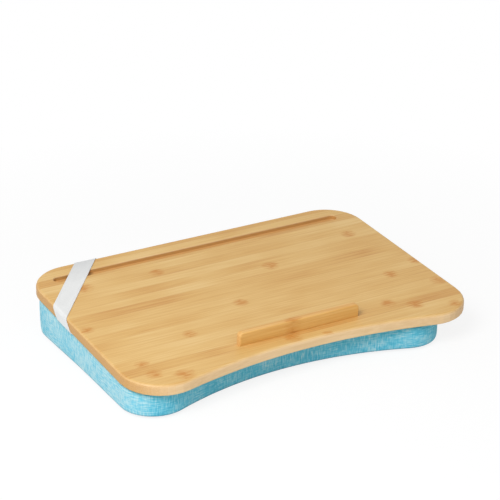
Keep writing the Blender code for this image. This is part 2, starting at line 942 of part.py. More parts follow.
def filling():
    """Bead filling in a liner of an upper and a lower half, inside the cover."""
    side = liner_clearance
    base = cloth_thickness + seat_gap
    wall = liner_thickness

    def waist(lift):
        return lambda y: base + waist_share * (top_height(y) - base) + lift

    def roof(drop):
        return lambda y: top_height(y) - base - drop

    def bowl_rows(inset, lift):
        rows = [(crown_run, level(base + lift))]
        for z_inset, z in crown_rows(seam_inset + inset, base + lift)[1:]:
            rows.append((z_inset, level(z)))
        return rows

    outer = bowl_rows(side, 0)
    rings = [cushion_ring(i, z) for i, z in outer] + [cushion_ring(seam_inset + side, waist(0))]
    inner = bowl_rows(side + wall, wall)
    rings += [cushion_ring(seam_inset + side + wall, waist(0))]
    rings += [cushion_ring(i, z) for i, z in reversed(inner)]
    lower = loft("liner_lower", rings, white_liner)

    rim = seam_inset + side
    shoulder = rim + crown_rise
    rings = [cushion_ring(shoulder, roof(0)), cushion_ring(rim, roof(crown_rise / 2))]
    rings += [cushion_ring(rim, waist(seat_gap)), cushion_ring(rim + wall, waist(seat_gap))]
    rings += [cushion_ring(rim + wall, roof(crown_rise / 2 + wall))]
    rings += [cushion_ring(shoulder, roof(wall))]
    upper = loft("liner_upper", rings, white_liner)

    inset = side + wall + seat_gap
    core = bowl_rows(inset, wall + seat_gap)
    rings = [cushion_ring(i, z) for i, z in core]
    rings += [cushion_ring(seam_inset + inset, waist(0))]
    rings += [cushion_ring(seam_inset + inset, roof(crown_rise / 2 + wall + seat_gap))]
    rings += [cushion_ring(seam_inset + inset + crown_rise, roof(wall + seat_gap))]
    fill = loft("bead_filling", rings, bead_filling)
    return lower, upper, fill


def cushion_pieces():
    carry(cushion_frame, cover_bottom(), cover_top(), cover_band(), *rear_strips())
    carry(cushion_frame, *zip_chain(), *filling())


panel_object, panel_holes = board_pieces()
strap_object, staple_holes = strap_and_staples()
cut_all(panel_object, panel_holes + staple_holes)
cut_all(strap_object, staple_holes)
tapes()
cushion_pieces()
zip_slider()
zip_pull()
bpy.context.view_layer.update()
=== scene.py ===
"""Looks of the lap desk: materials, and detailed soft pieces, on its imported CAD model.

Lengths are in metres in the model's own frame: X to the sitter's right, Y away from the
sitter and Z up from the table. Colours are display levels from 0 to 255.
"""

import math
import random

import bmesh
import bpy
from mathutils import Matrix, Vector, noise


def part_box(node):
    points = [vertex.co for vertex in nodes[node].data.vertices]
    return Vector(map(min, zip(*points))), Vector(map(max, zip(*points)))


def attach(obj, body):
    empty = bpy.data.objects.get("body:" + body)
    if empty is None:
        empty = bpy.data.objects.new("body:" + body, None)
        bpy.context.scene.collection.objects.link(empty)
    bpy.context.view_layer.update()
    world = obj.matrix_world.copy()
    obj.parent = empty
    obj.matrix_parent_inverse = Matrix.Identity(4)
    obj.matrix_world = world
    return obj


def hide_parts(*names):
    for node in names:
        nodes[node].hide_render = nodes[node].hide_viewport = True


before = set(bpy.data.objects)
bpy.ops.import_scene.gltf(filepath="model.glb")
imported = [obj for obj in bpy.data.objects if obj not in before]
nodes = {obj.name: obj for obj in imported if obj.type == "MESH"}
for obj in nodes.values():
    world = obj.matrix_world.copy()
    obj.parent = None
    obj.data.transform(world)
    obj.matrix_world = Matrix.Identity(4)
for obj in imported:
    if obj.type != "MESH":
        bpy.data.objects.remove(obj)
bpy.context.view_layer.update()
scene = bpy.context.scene

# Camera, in the place that the photograph was taken from
camera_target = Vector((0.0775, 0.1335, 0.0500))
camera_azimuth = math.radians(29.771)
camera_elevation = math.radians(23.820)
camera_distance = 2.656
camera_lens = 134.54
camera_sensor = 36.0

# Lamps, with name, direction, distance, size and power, and the background
lamps = (
    ("key", Vector((-0.62, -0.42, 0.80)), 2.20, 1.0, 34.0),
    ("fill", Vector((0.60, -0.90, 0.55)), 3.0, 2.0, 3.0),
)
sky_strength = 0.50
background_strength = 1.0
floor_half_size = 6.0
floor_glow = 0.85
shadow_reach = 0.35
shadow_end = 0.80
floor_paint = (0.95, 0.95, 0.95, 1)
floor_drop = 0.0002

# Board, as the CAD model has it
board_width = 0.508
board_depth = 0.352
board_thickness = 0.0145
board_top_round = 0.0040
board_bottom_round = 0.0012
board_rear_radius = 0.055
groove_y = board_depth / 2 - 0.0350
groove_width = 0.015
rear_height = 0.0565
front_height = 0.0362
board_middle = Vector((0.00065, -0.00031, (rear_height + front_height) / 2))
board_lean = math.atan2(rear_height - front_height, board_depth)
board_place = Matrix.Translation(board_middle) @ Matrix.Rotation(board_lean, 4, "X")
board_gap = 0.0028

# Knuckles of the bamboo on the board's top: place from its middle, distance from its rear
# edge, size, and the side to which the knuckle's line bows
board_knuckles = (
    (-0.243, 0.179, 0.8, 1), (-0.197, 0.073, 1.15, 1), (-0.220, 0.290, 0.8, -1),
    (-0.216, 0.317, 0.95, -1), (-0.183, 0.334, 1.1, 1), (0.209, 0.092, 0.9, -1),
    (0.195, 0.224, 0.9, 1), (0.176, 0.311, 1.0, -1), (0.225, 0.333, 0.8, 1),
    (0.243, 0.268, 1.0, -1), (0.249, 0.204, 0.9, 1), (0.145, 0.293, 0.9, 1),
    (-0.015, 0.315, 1.1, -1), (0.029, 0.328, 0.7, 1), (-0.090, 0.076, 0.9, -1),
    (0.060, 0.128, 1.0, 1), (-0.030, 0.203, 0.9, -1), (-0.130, 0.247, 0.8, 1),
)
knuckle_half_length = 0.0145
knuckle_half_width = 0.0125
knuckle_spread = 1.3
knuckle_raggedness = 0.45
knuckle_bow = 0.4
knuckle_line_width = 0.22
knuckle_line_weight = 0.3
knuckle_line_fade = 0.4
knuckle_fill = 0.12
knuckle_limit = 0.75
ledge_knuckle_x = -0.011

# Bamboo: its strips, noise per metre along and across the fibres, and the noises' weights
lacquer_roughness = 0.40
lacquer_wear = 0.16
lacquer_specular = 0.35
strip_width = 0.0188
joint_start = 0.485
joint_weight = 0.22
joint_depth = 0.8
fibre_height = 0.7
wave_scale = (6, 0, 0)
wave_depth = 0.0016
slow_scale = 7
slow_step = 3.7
fibre_scale = (9, 420, 420)
fibre_span = (0.3, 0.7)
fine_scale = (30, 1700, 1700)
streak_scale = (66, 430, 430)
streak_span = (0.34, 0.66)
grain_scale = (500, 900, 900)
grain_span = (0.35, 0.65)
strip_weight = 0.26
slow_weight = 0.84
fibre_weight = 0.95
fine_weight = 0.35
side_span = (0.85, 0.45)
end_span = (0.10, 1.0)
# Where the groove is tinted darker: partly the cut's own darker wood, partly painted shade in
# the recess
groove_margins = (0.0010, 0.0002)
groove_depths = (0.0006, 0.0024)

# Elastic strap over the rear left corner
strap_width = 0.025
strap_thickness = 0.001
strap_seat = 0.0001
strap_rear_clear = 0.0355
strap_side_clear = 0.060
strap_tail = 0.030
strap_side_lean = 1.05
strap_columns = 20
strap_fold_steps = 8
strap_top_steps = 30
strap_tail_steps = 6
strap_squeeze = 0.9

# Strap's knit: its ribs and courses, their weights, and the painted shade in its grooves,
# towards the board's rear edge and on the fold down the board's left side
rib_pitch = 0.0016
course_pitch = 0.0011
rib_height = 0.6
course_height = 0.35
fuzz_height = 0.4
# Painted shade in the knit's grooves, and lighter ribs
knit_groove_shade = 0.12
soil_contrast = 0.3
knit_tone = 0.38
knit_sheen = 0.15
fuzz_scale = (900, 900, 0)
soil_scale = (40, 120, 0)
# Painted shade: greyer towards the board's rear edge, and on the fold down the board's left side
rear_painted_shade_reach = (0.055, 0.004)
rear_painted_shade = 0.35
side_fold_shade_reach = 0.003
side_fold_painted_shade = 0.24

# Glue under the stop ledge, and the fastener tapes' corners
glue_inset = 0.0003
glue_height = 0.0011
glue_corner_radius = 0.0006
tape_corner_radius = 0.004
plate_corner_steps = 5

# Cushion's outline and cover
seam_inset = 0.0010
cushion_rear_radius = 0.050
cushion_front_radius = 0.047
cushion_hollow_rise = 0.0355
side_draw_in = 0.0012
crown_rise = 0.0038
crown_run = 0.0240
cloth_thickness = 0.0012
zip_mouth = 0.0100
zip_end_margin = 0.0120
mouth_margin = 0.0004
crown_power = 2.5
draw_in_power = 4
weld_distance = 0.00002
edge_tolerance = 0.0002
sharp_angle = math.radians(40)

# Liner and its filling, smaller than the cover
liner_inset = 0.0058
liner_base = 0.0016
beads_inset = 0.0075
beads_base = 0.0030
inner_bulge = 0.001
inner_fill = 0.85
inner_crease = 0.0006
inner_crease_scales = (45, 120)

# Counts of the cover's grid
corner_steps = 13
front_corner_steps = 16
hollow_steps = 60
side_steps = 40
zip_steps = 60
zip_end_steps = 2
cap_steps = 7
cap_core = 0.3
crown_shares = (0.0, 0.2, 0.4, 0.6, 0.78, 0.9, 1.0)
wall_steps = 4
mouth_steps = 2

# Swelling of the cover by cloth simulation
start_inset = 0.0006
swell_limit = 0.0018
swell_pressure = 4.0
swell_frames = 20
seam_pinch = 0.0006
seam_crease = 0.6
pucker_reach = 0.014
pucker_depth = 0.0007
pucker_scale = 95
pucker_clear_of_zip = 0.01
pucker_start = 0.0006
crown_margin = 0.0003

# Cloth: noise per metre along and across the threads, and the noises' weights
weft_scale = (90, 560, 0)
warp_scale = (560, 90, 0)
cloud_scale = (26, 26, 0)
patch_scale = (12, 12, 0)
patch_span = (0.36, 0.64)
crossing_softness = 0.12
slub_contrast = 1.6
crossing_weight = 0.40
cloud_weight = 0.40
slub_height = 1.2
tint_stops = (0.22, 0.50, 0.80)
# Painted highlight: how far in from the left end, and how strongly, the cover is drawn paler
# where the key lamp falls
left_end_highlight_span = (0.90, 0.99)
left_end_highlight_weight = 0.16
# Painted shade: a darker line along the cover's lower seam, where it meets the table
seam_shade_reach = (0.0018, 0.0005)
seam_shade_weight = 0.55

# Darker wood inside the groove: partly the cut's own tone, partly painted shade in the recess
# Zip: tapes, coils and the stitches beside the mouth
tape_columns = 6
tape_rows = 120
tape_sway = 0.00012
tape_sway_scale = 60
tape_squeeze = 0.8
coil_wire = 0.00030
coil_pitch = 0.0019
coil_turn_points = 12
coil_squareness = (0.7, 0.6)
stitch_pitch = 0.0032
stitch_length = 0.0026
stitch_margin = 0.0022
stitch_radius = 0.00022
stitch_sides = 6
stitch_shares = (0.0, 0.15, 0.5, 0.85, 1.0)
stitch_lifts = (-0.5, 0.5, 1.0, 0.5, -0.5)

# Fastener tapes: their backing and their rows of bristles, with each bristle's path
tape_back = 0.0004
bristle_margin = 0.0022
bristle_width = 0.00022
bristle_turn = 0.25
bristle_strays = (0.2, 0.1)
hook_pitch = 0.0016
loop_pitch = 0.0013
hook_shape = ((0, 0, 0), (0, 0, 0.00032), (0.00010, 0, 0.00050), (0.00032, 0, 0.00054),
              (0.00042, 0, 0.00038))
loop_shape = ((0, 0, 0), (-0.00015, 0.0001, 0.00030), (0.0001, 0.0002, 0.00046),
              (0.0004, 0.0001, 0.00030), (0.0003, 0, 0))

# Metal, nylon and foam beads: noise per metre, and the metals' wear
wear_scale = 240
wear_span = (0.35, 0.65)
scratch_scale = (300, 4000, 4000)
scratch_roughness = 0.25
polish = 0.1
nylon_scale = 500
bead_scale = 330

# Curve of the display colour levels
top_level = 255
curve_knee = 0.04045
curve_slope = 12.92
curve_offset = 0.055
curve_power = 2.4


def linear(level):
    """Linear value of one display colour level."""
    share = level / top_level
    if share <= curve_knee:
        return share / curve_slope
    return ((share + curve_offset) / (1 + curve_offset)) ** curve_power


def colour(red, green, blue):
    return (linear(red), linear(green), linear(blue), 1.0)


def board_point(x, y, z):
    """Place in the world of a point in the board's own leaning frame."""
    return board_place @ Vector((x, y, z))


def top_height(y):
    """Height of the cushion's flat top above the table."""
    rise = math.tan(board_lean) * (y - board_middle.y)
    return board_middle.z + rise - board_gap / math.cos(board_lean)


class Nodes:
    """Short calls for the nodes of one tree."""

    def __init__(self, tree):
        self.tree = tree

    def node(self, kind, **settings):
        made = self.tree.nodes.new("ShaderNode" + kind)
        for key, value in settings.items():
            setattr(made, key, value)
        return made

    def put(self, socket, value):
        """Link an output to a socket, or set the socket's own value."""
        if isinstance(value, bpy.types.NodeSocket):
            self.tree.links.new(value, socket)
        else:
            socket.default_value = value

    def math(self, operation, *values):
        made = self.node("Math", operation=operation)
        for socket, value in zip(made.inputs, values):
            self.put(socket, value)
        return made.outputs[0]

    def times(self, first, second):
        return self.math("MULTIPLY", first, second)

    def plus(self, first, second):
        return self.math("ADD", first, second)

    def minus(self, first, second):
        return self.math("SUBTRACT", first, second)

    def between(self, share, high, low):
        """Value on the way from low at 0 to high at 1."""
        return self.plus(self.times(share, high), self.times(self.minus(1.0, share), low))

    def span(self, value, low, high, first=0.0, last=1.0):
        """Share of the way from low to high, kept between its first and last values."""
        made = self.node("MapRange")
        self.put(made.inputs["Value"], value)
        names = ("From Min", "From Max", "To Min", "To Max")
        for socket, limit in zip(names, (low, high, first, last)):
            made.inputs[socket].default_value = limit
        return made.outputs[0]

    def mix(self, share, low, high):
        """Mixed colour, from low at 0 to high at 1."""
        made = self.node("Mix", data_type="RGBA")
        self.put(made.inputs[0], share)
        self.put(made.inputs[6], low)
        self.put(made.inputs[7], high)
        return made.outputs[2]

    def ramp(self, share, *stops):
        """Colour from stops of share and colour."""
        made = self.node("ValToRGB")
        elements = made.color_ramp.elements
        while len(elements) < len(stops):
            elements.new(0.5)
        for element, (position, tint) in zip(elements, stops):
            element.position = position
            element.color = tint
        self.put(made.inputs[0], share)
        return made.outputs[0]

    def seen_plainly(self):
        """1 for camera, mirror and see-through rays, which meet the plain white background."""
        path = self.node("LightPath")
        total = path.outputs["Is Camera Ray"]
        for ray in ("Is Glossy Ray", "Is Transmission Ray"):
            total = self.math("MAXIMUM", total, path.outputs[ray])
        return total

    def vector(self, x, y, z):
        made = self.node("CombineXYZ")
        for socket, value in zip(made.inputs, (x, y, z)):
            self.put(socket, value)
        return made.outputs[0]

    def split(self, vector):
        made = self.node("SeparateXYZ")
        self.put(made.inputs[0], vector)
        return made.outputs[:3]

    def object_place(self, matrix=None):
        """Object coordinates, or those of a frame given by its place matrix."""
        place = self.node("TexCoord").outputs["Object"]
        if matrix is None:
            return place
        made = self.node("Mapping", vector_type="TEXTURE")
        made.inputs["Location"].default_value = matrix.to_translation()
        made.inputs["Rotation"].default_value = matrix.to_euler()
        self.put(made.inputs["Vector"], place)
        return made.outputs[0]

    def normal(self):
        return self.node("TexCoord").outputs["Normal"]

    def scaled(self, vector, x, y, z):
        made = self.node("VectorMath", operation="MULTIPLY")
        self.put(made.inputs[0], vector)
        made.inputs[1].default_value = (x, y, z)
        return made.outputs[0]

    def noise(self, vector, scale=1.0, detail=2.0, rough=0.5):
        made = self.node("TexNoise")
        self.put(made.inputs["Vector"], vector)
        made.inputs["Scale"].default_value = scale
        made.inputs["Detail"].default_value = detail
        made.inputs["Roughness"].default_value = rough
        return made.outputs[0]

    def chance(self, value):
        """Random number from 0 to 1 that stays the same for one whole number."""
        made = self.node("TexWhiteNoise", noise_dimensions="1D")
        self.put(made.inputs["W"], value)
        return made.outputs["Value"]


class Surface(Nodes):
    """One procedural material."""

    def __init__(self, name, roughness, metallic=0.0, specular=0.5):
        self.material = bpy.data.materials.new(name)
        self.material.use_nodes = True
        super().__init__(self.material.node_tree)
        self.shader = self.tree.nodes["Principled BSDF"]
        self.shader.inputs["Roughness"].default_value = roughness
        self.shader.inputs["Metallic"].default_value = metallic
        self.shader.inputs["Specular IOR Level"].default_value = specular

    def finish(self, tint, height, distance, strength=1.0, roughness=None):
        """Connect the colour, the bump and the roughness to the shader."""
        self.put(self.shader.inputs["Base Color"], tint)
        bump = self.node("Bump")
        bump.inputs["Distance"].default_value = distance
        bump.inputs["Strength"].default_value = strength
        self.put(bump.inputs["Height"], height)
        self.put(self.shader.inputs["Normal"], bump.outputs[0])
        if roughness is not None:
            self.put(self.shader.inputs["Roughness"], roughness)
        return self.material


def knuckle(s, x, y, streak, place):
    """Strength of the brown smudge where a culm had a knuckle: streaks and a bowed line."""
    centre_x, centre_y, size, bow_side = place
    along = s.times(s.minus(x, centre_x), 1 / (knuckle_half_length * size))
    across = s.times(s.minus(y, centre_y), 1 / (knuckle_half_width * size))
    bow = s.times(across, across)
    spread = s.plus(s.times(streak, -knuckle_raggedness), knuckle_spread)
    ragged = s.times(along, spread)
    reach = s.plus(s.times(ragged, ragged), bow)
    blob = s.span(reach, 1.0, 0.0)
    bent = s.plus(along, s.times(bow, knuckle_bow * bow_side))
    core = s.span(s.math("ABSOLUTE", bent), knuckle_line_width, 0.0)
    line = s.times(core, s.span(bow, 1.0, knuckle_line_fade))
    streaks = s.plus(s.times(streak, 1 - knuckle_fill), knuckle_fill)
    spots = s.times(blob, streaks)
    return s.plus(spots, s.times(s.times(line, streak), knuckle_line_weight))


def bamboo_surface(name, shades, side_tint, end_tint, knuckles, seed, side_marks=0.0,
                   groove_burn_and_shade_tint=None):
    """Edge-glued bamboo strips along X, with fine fibres, knuckles and a satin lacquer.

    side_marks is the knuckles' strength on upright faces, as a share of that on top.
    """
    s = Surface(name, lacquer_roughness, specular=lacquer_specular)
    place = s.object_place(board_place)
    x, y, z = s.split(place)
    wave = s.times(s.minus(s.noise(s.scaled(place, *wave_scale)), 0.5), wave_depth)
    drift = s.plus(y, wave)
    strips = s.plus(s.times(drift, 1 / strip_width), seed)
    number = s.math("FLOOR", strips)
    edge = s.math("ABSOLUTE", s.minus(s.math("FRACT", strips), 0.5))
    joint = s.span(edge, joint_start, 0.5)
    slow_place = s.vector(s.times(x, slow_scale), s.times(number, slow_step), 0.0)
    slow = s.noise(slow_place)
    fibre = s.noise(s.scaled(place, *fibre_scale), detail=4.0, rough=0.6)
    fine = s.noise(s.scaled(place, *fine_scale))
    streak = s.span(s.noise(s.scaled(place, *streak_scale), detail=3.0), *streak_span)
    share = s.plus(s.times(s.chance(number), strip_weight), s.times(slow, slow_weight))
    share = s.plus(share, s.times(s.minus(fibre, 0.5), fibre_weight))
    share = s.plus(share, s.times(s.minus(fine, 0.5), fine_weight))
    tint = s.ramp(share, *shades)
    tint = s.mix(s.times(joint, joint_weight), tint, joint_tint)
    turned = s.split(s.normal())
    side = s.span(s.math("ABSOLUTE", turned[2]), *side_span)
    side_colour = s.mix(s.span(fibre, *fibre_span), *side_tint)
    tint = s.mix(side, tint, side_colour)
    marks = 0.0
    for place_here in knuckles:
        marks = s.math("MAXIMUM", knuckle(s, x, y, streak, place_here), marks)
    marks = s.times(marks, s.minus(1.0, s.times(side, 1.0 - side_marks)))
    tint = s.mix(s.math("MINIMUM", marks, knuckle_limit), tint, knuckle_tint)
    end = s.times(side, s.span(s.math("ABSOLUTE", turned[0]), *end_span))
    grain = s.noise(s.scaled(place, *grain_scale))
    end_colour = s.mix(s.span(grain, *grain_span), *end_tint)
    tint = s.mix(end, tint, end_colour)
    # Inside the groove the wood is drawn darker: partly the cut's own darker wood, partly
    # painted shade in the recess
    if groove_burn_and_shade_tint:
        off_middle = s.math("ABSOLUTE", s.minus(y, groove_y))
        inside = s.span(off_middle, *[groove_width / 2 + m for m in groove_margins])
        below = s.span(z, *[board_thickness - depth for depth in groove_depths])
        tint = s.mix(s.times(inside, below), tint, groove_burn_and_shade_tint)
    height = s.plus(s.times(fibre, fibre_height), s.times(fine, 1 - fibre_height))
    height = s.minus(height, s.times(joint, joint_depth))
    roughness = s.plus(s.times(fibre, lacquer_wear), lacquer_roughness)
    return s.finish(tint, height, distance=0.00012, strength=0.6, roughness=roughness)


def woven_surface(name, dark, middle, light, thread, slub=1.0, sheen=0.12, seam_shade_tint=None):
    """Plain weave of uneven threads, along the two directions of the map Weave.

    The cover's cloth also has a painted highlight, paler at the cushion's left end where the key
    lamp falls, and a darker line of painted shade along its lower seam, in the tint given for
    it.
    """
    s = Surface(name, 0.9, specular=0.2)
    uv = s.node("UVMap", uv_map="Weave").outputs[0]
    u, v, _ = s.split(uv)
    warp_wave = s.math("SINE", s.times(u, math.pi / thread))
    weft_wave = s.math("SINE", s.times(v, math.pi / thread))
    over = s.span(s.times(warp_wave, weft_wave), -crossing_softness, crossing_softness)
    tones = []
    for scale in (weft_scale, warp_scale):
        threads = s.noise(s.scaled(uv, *scale), detail=3.0, rough=0.55)
        tones.append(s.plus(s.times(s.minus(threads, 0.5), slub_contrast * slub), 0.5))
    cloud = s.noise(s.scaled(uv, *cloud_scale))
    tone = s.between(over, *tones)
    patch = s.span(s.noise(s.scaled(uv, *patch_scale), detail=1.0), *patch_span)
    both = s.between(patch, *tones)
    tone = s.plus(s.times(tone, crossing_weight), s.times(both, 1 - crossing_weight))
    tone = s.plus(tone, s.times(s.minus(cloud, 0.5), cloud_weight))
    if seam_shade_tint:
        x, _, z = s.split(s.object_place())
        # Painted highlight: paler cloth at the cushion's left end, where the key lamp falls
        reach = s.minus(cushion_centre, x)
        pull = s.span(reach, *[share * cushion_half_width for share in left_end_highlight_span])
        tone = s.plus(tone, s.times(pull, left_end_highlight_weight))
    tint = s.ramp(tone, *zip(tint_stops, (dark, middle, light)))
    if seam_shade_tint:
        # Painted shade: a darker line along the lower seam
        seam_shade = s.span(s.math("ABSOLUTE", s.minus(z, crown_rise)), *seam_shade_reach)
        tint = s.mix(s.times(seam_shade, seam_shade_weight), tint, seam_shade_tint)
    waves = [s.math("ABSOLUTE", wave) for wave in (weft_wave, warp_wave)]
    height = s.between(over, *waves)
    height = s.plus(height, s.times(s.minus(both, 0.5), slub_height))
    s.shader.inputs["Sheen Weight"].default_value = sheen
    s.shader.inputs["Sheen Roughness"].default_value = 0.5
    return s.finish(tint, height, distance=0.00025, strength=0.7)


def elastic_surface():
    """White knitted elastic with fine ribs; painted shade darkens its grooves, its end at the
    rear edge and its fold down the left side.
    """
    s = Surface("knitted_elastic", 0.8, specular=0.25)
    uv = s.node("UVMap", uv_map="Weave").outputs[0]
    u, v, _ = s.split(uv)
    rib = s.math("SINE", s.times(v, 2 * math.pi / rib_pitch))
    course = s.math("SINE", s.times(u, 2 * math.pi / course_pitch))
    fuzz = s.noise(s.scaled(uv, *fuzz_scale))
    slow = s.noise(s.scaled(uv, *soil_scale))
    height = s.plus(s.times(rib, rib_height), s.times(course, course_height))
    height = s.plus(height, s.times(fuzz, fuzz_height))
    # Painted shade: the knit's grooves darker and its ribs lighter, following the bump
    knit = s.times(s.plus(rib, course), knit_groove_shade)
    tone = s.plus(knit, s.plus(s.times(slow, soil_contrast), knit_tone))
    x, y, _ = s.split(s.object_place(board_place))
    # Painted shade: greyer towards the board's rear edge
    rear_shade = s.span(y, *[board_depth / 2 - reach for reach in rear_painted_shade_reach])
    tone = s.minus(tone, s.times(rear_shade, rear_painted_shade))
    # Painted shade: the fold down the board's left side, which faces the key lamp, drawn greyer
    side_fold_shade = s.span(x, -board_width / 2 + side_fold_shade_reach, -board_width / 2)
    tone = s.minus(tone, s.times(side_fold_shade, side_fold_painted_shade))
    tint = s.ramp(tone, (0.15, colour(208, 209, 209)), (0.55, colour(227, 228, 227)),
                  (0.90, colour(236, 236, 235)))
    s.shader.inputs["Sheen Weight"].default_value = knit_sheen
    return s.finish(tint, height, distance=0.00012, strength=0.7)


def metal_surface(name, bright, dull, roughness):
    """Cast or drawn metal with fine scratches and a worn tone."""
    s = Surface(name, roughness, 1.0)
    place = s.object_place()
    worn = s.noise(place, scale=wear_scale, detail=3.0)
    scratch = s.noise(s.scaled(place, *scratch_scale))
    tint = s.mix(s.span(worn, *wear_span), dull, bright)
    height = s.plus(s.times(worn, 0.5), s.times(scratch, 0.5))
    rough = s.plus(s.times(scratch, scratch_roughness), roughness - polish)
    return s.finish(tint, height, distance=0.00002, strength=0.5, roughness=rough)


def nylon_surface(name, dark, light):
    s = Surface(name, 0.38)
    tone = s.noise(s.object_place(), scale=nylon_scale)
    return s.finish(s.mix(tone, dark, light), tone, distance=0.00002, strength=0.4)


def beads_surface():
    """Foam beads seen as one packed mass, with painted shade between the beads."""
    s = Surface("foam_beads", 0.8)
    cells = s.node("TexVoronoi")
    s.put(cells.inputs["Vector"], s.object_place())
    cells.inputs["Scale"].default_value = bead_scale
    distance = cells.outputs["Distance"]
    # Painted shade: each bead white at its middle and greyer towards its rim, between the beads
    tint = s.ramp(distance, (0.0, colour(246, 246, 244)), (0.75, colour(196, 197, 196)))
    return s.finish(tint, s.minus(1.0, distance), distance=0.0012)


def add_object(name, mesh, finish):
    made = bpy.data.objects.new(name, mesh)
    mesh.materials.append(finish)
    scene.collection.objects.link(made)
    return made


def add_piece(name, bm, finish, body):
    """Make a piece of the object from a bmesh, which rides on one body."""
    mesh = bpy.data.meshes.new(name)
    bm.to_mesh(mesh)
    bm.free()
    mesh.shade_smooth()
    mesh.set_sharp_from_angle(angle=sharp_angle)
    made = add_object(name, mesh, finish)
    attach(made, body)
    return made


def smooth_out(piece):
    step = piece.modifiers.new("smooth", "SUBSURF")
    step.levels = 1
    step.render_levels = 1


def thicken(piece, thickness, offset):
    step = piece.modifiers.new("thickness", "SOLIDIFY")
    step.thickness = thickness
    step.offset = offset


def grid_mesh(rows, uvs, closed=False):
    """Quads between rows of points, with a map of real lengths called Weave."""
    bm = bmesh.new()
    layer = bm.loops.layers.uv.new("Weave")
    lines = [[bm.verts.new(point) for point in row] for row in rows]
    for i in range(len(lines) - 1):
        count = len(lines[i]) if closed else len(lines[i]) - 1
        for j in range(count):
            k = (j + 1) % len(lines[i])
            corners = ((i, j, j), (i, k, j + 1), (i + 1, k, j + 1), (i + 1, j, j))
            face = bm.faces.new([lines[a][b] for a, b, _ in corners])
            for loop, (a, _, c) in zip(face.loops, corners):
                loop[layer].uv = uvs[a][c]
    return bm


def arc(centre, radius, start, end, steps):
    """Points on an arc, angles in degrees, both ends included."""
    angles = [math.radians(start + (end - start) * i / steps) for i in range(steps + 1)]
    return [(centre[0] + radius * math.cos(a), centre[1] + radius * math.sin(a)) for a in angles]


def even(start, end, steps):
    """Values from start to end, the end left out."""
    return [start + (end - start) * i / steps for i in range(steps)]


# Cushion's outline, from the CAD model's flat top panel
top_low, top_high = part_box("cover_top_panel")
cushion_left = top_low.x - seam_inset
cushion_right = top_high.x + seam_inset
cushion_front = top_low.y - seam_inset
cushion_rear = top_high.y + seam_inset
cushion_centre = (cushion_left + cushion_right) / 2
cushion_half_width = (cushion_right - cushion_left) / 2
zip_left = cushion_left + cushion_rear_radius + zip_end_margin
zip_right = cushion_right - cushion_rear_radius - zip_end_margin
zip_height = (crown_rise + top_height(cushion_rear)) / 2


def cushion_outline(inset):
    """Cushion's outline from above, drawn in by an inset, anticlockwise from its right side."""
    half = cushion_half_width - inset
    rear = cushion_rear - inset
    front = cushion_front + inset
    rear_radius = max(cushion_rear_radius - inset, seam_inset)
    front_radius = max(cushion_front_radius - inset, seam_inset)
    span = half - front_radius
    rise = cushion_hollow_rise
    bend = (span ** 2 + (front_radius - rise) ** 2 - front_radius ** 2) / (2 * rise)
    swing = math.degrees(math.asin(span / (bend + front_radius)))
    side_end = rear - rear_radius
    side_start = front + front_radius
    rear_end = half - rear_radius
    points = [(half, y) for y in even(side_start, side_end, side_steps)]
    points += arc((rear_end, side_end), rear_radius, 0, 90, corner_steps)[:-1]
    right = zip_right - cushion_centre
    left = zip_left - cushion_centre
    across = even(rear_end, right, zip_end_steps) + even(right, left, zip_steps)
    points += [(x, rear) for x in across + even(left, -rear_end, zip_end_steps)]
    points += arc((-rear_end, side_end), rear_radius, 90, 180, corner_steps)[:-1]
    points += [(-half, y) for y in even(side_end, side_start, side_steps)]
    points += arc((-span, side_start), front_radius, 180, 270 + swing, front_corner_steps)
    hollow = arc((0, front + rise - bend), bend, 90 + swing, 90 - swing, hollow_steps)
    points += hollow[1:-1]
    points += arc((span, side_start), front_radius, -90 - swing, 0, front_corner_steps)[:-1]
    return [(cushion_centre + drawn_in(x, y), y) for x, y in points]


def drawn_in(x, y):
    """Pull the straight sides in between the corners."""
    low = cushion_front + cushion_front_radius
    high = cushion_rear - cushion_rear_radius
    share = min(max((y - low) / (high - low), 0), 1)
    pull = side_draw_in * math.sin(math.pi * share) ** 2
    return x - math.copysign(pull, x) * (abs(x) / cushion_half_width) ** draw_in_power


def path_lengths(path):
    """Length along a path up to each of its points."""
    lengths = [0.0]
    for a, b in zip(path, path[1:]):
        lengths.append(lengths[-1] + math.hypot(b[0] - a[0], b[1] - a[1]))
    return lengths


def wall_shares():
    """Shares of the wall's height for the cover's rows; the zip's mouth lies between two."""
    low = crown_rise
    high = top_height(cushion_rear)
    first = (zip_height - zip_mouth / 2 - low) / (high - low)
    second = (zip_height + zip_mouth / 2 - low) / (high - low)
    shares = even(0, first, wall_steps) + even(first, second, mouth_steps)
    return shares + even(second, 1, wall_steps) + [1.0]


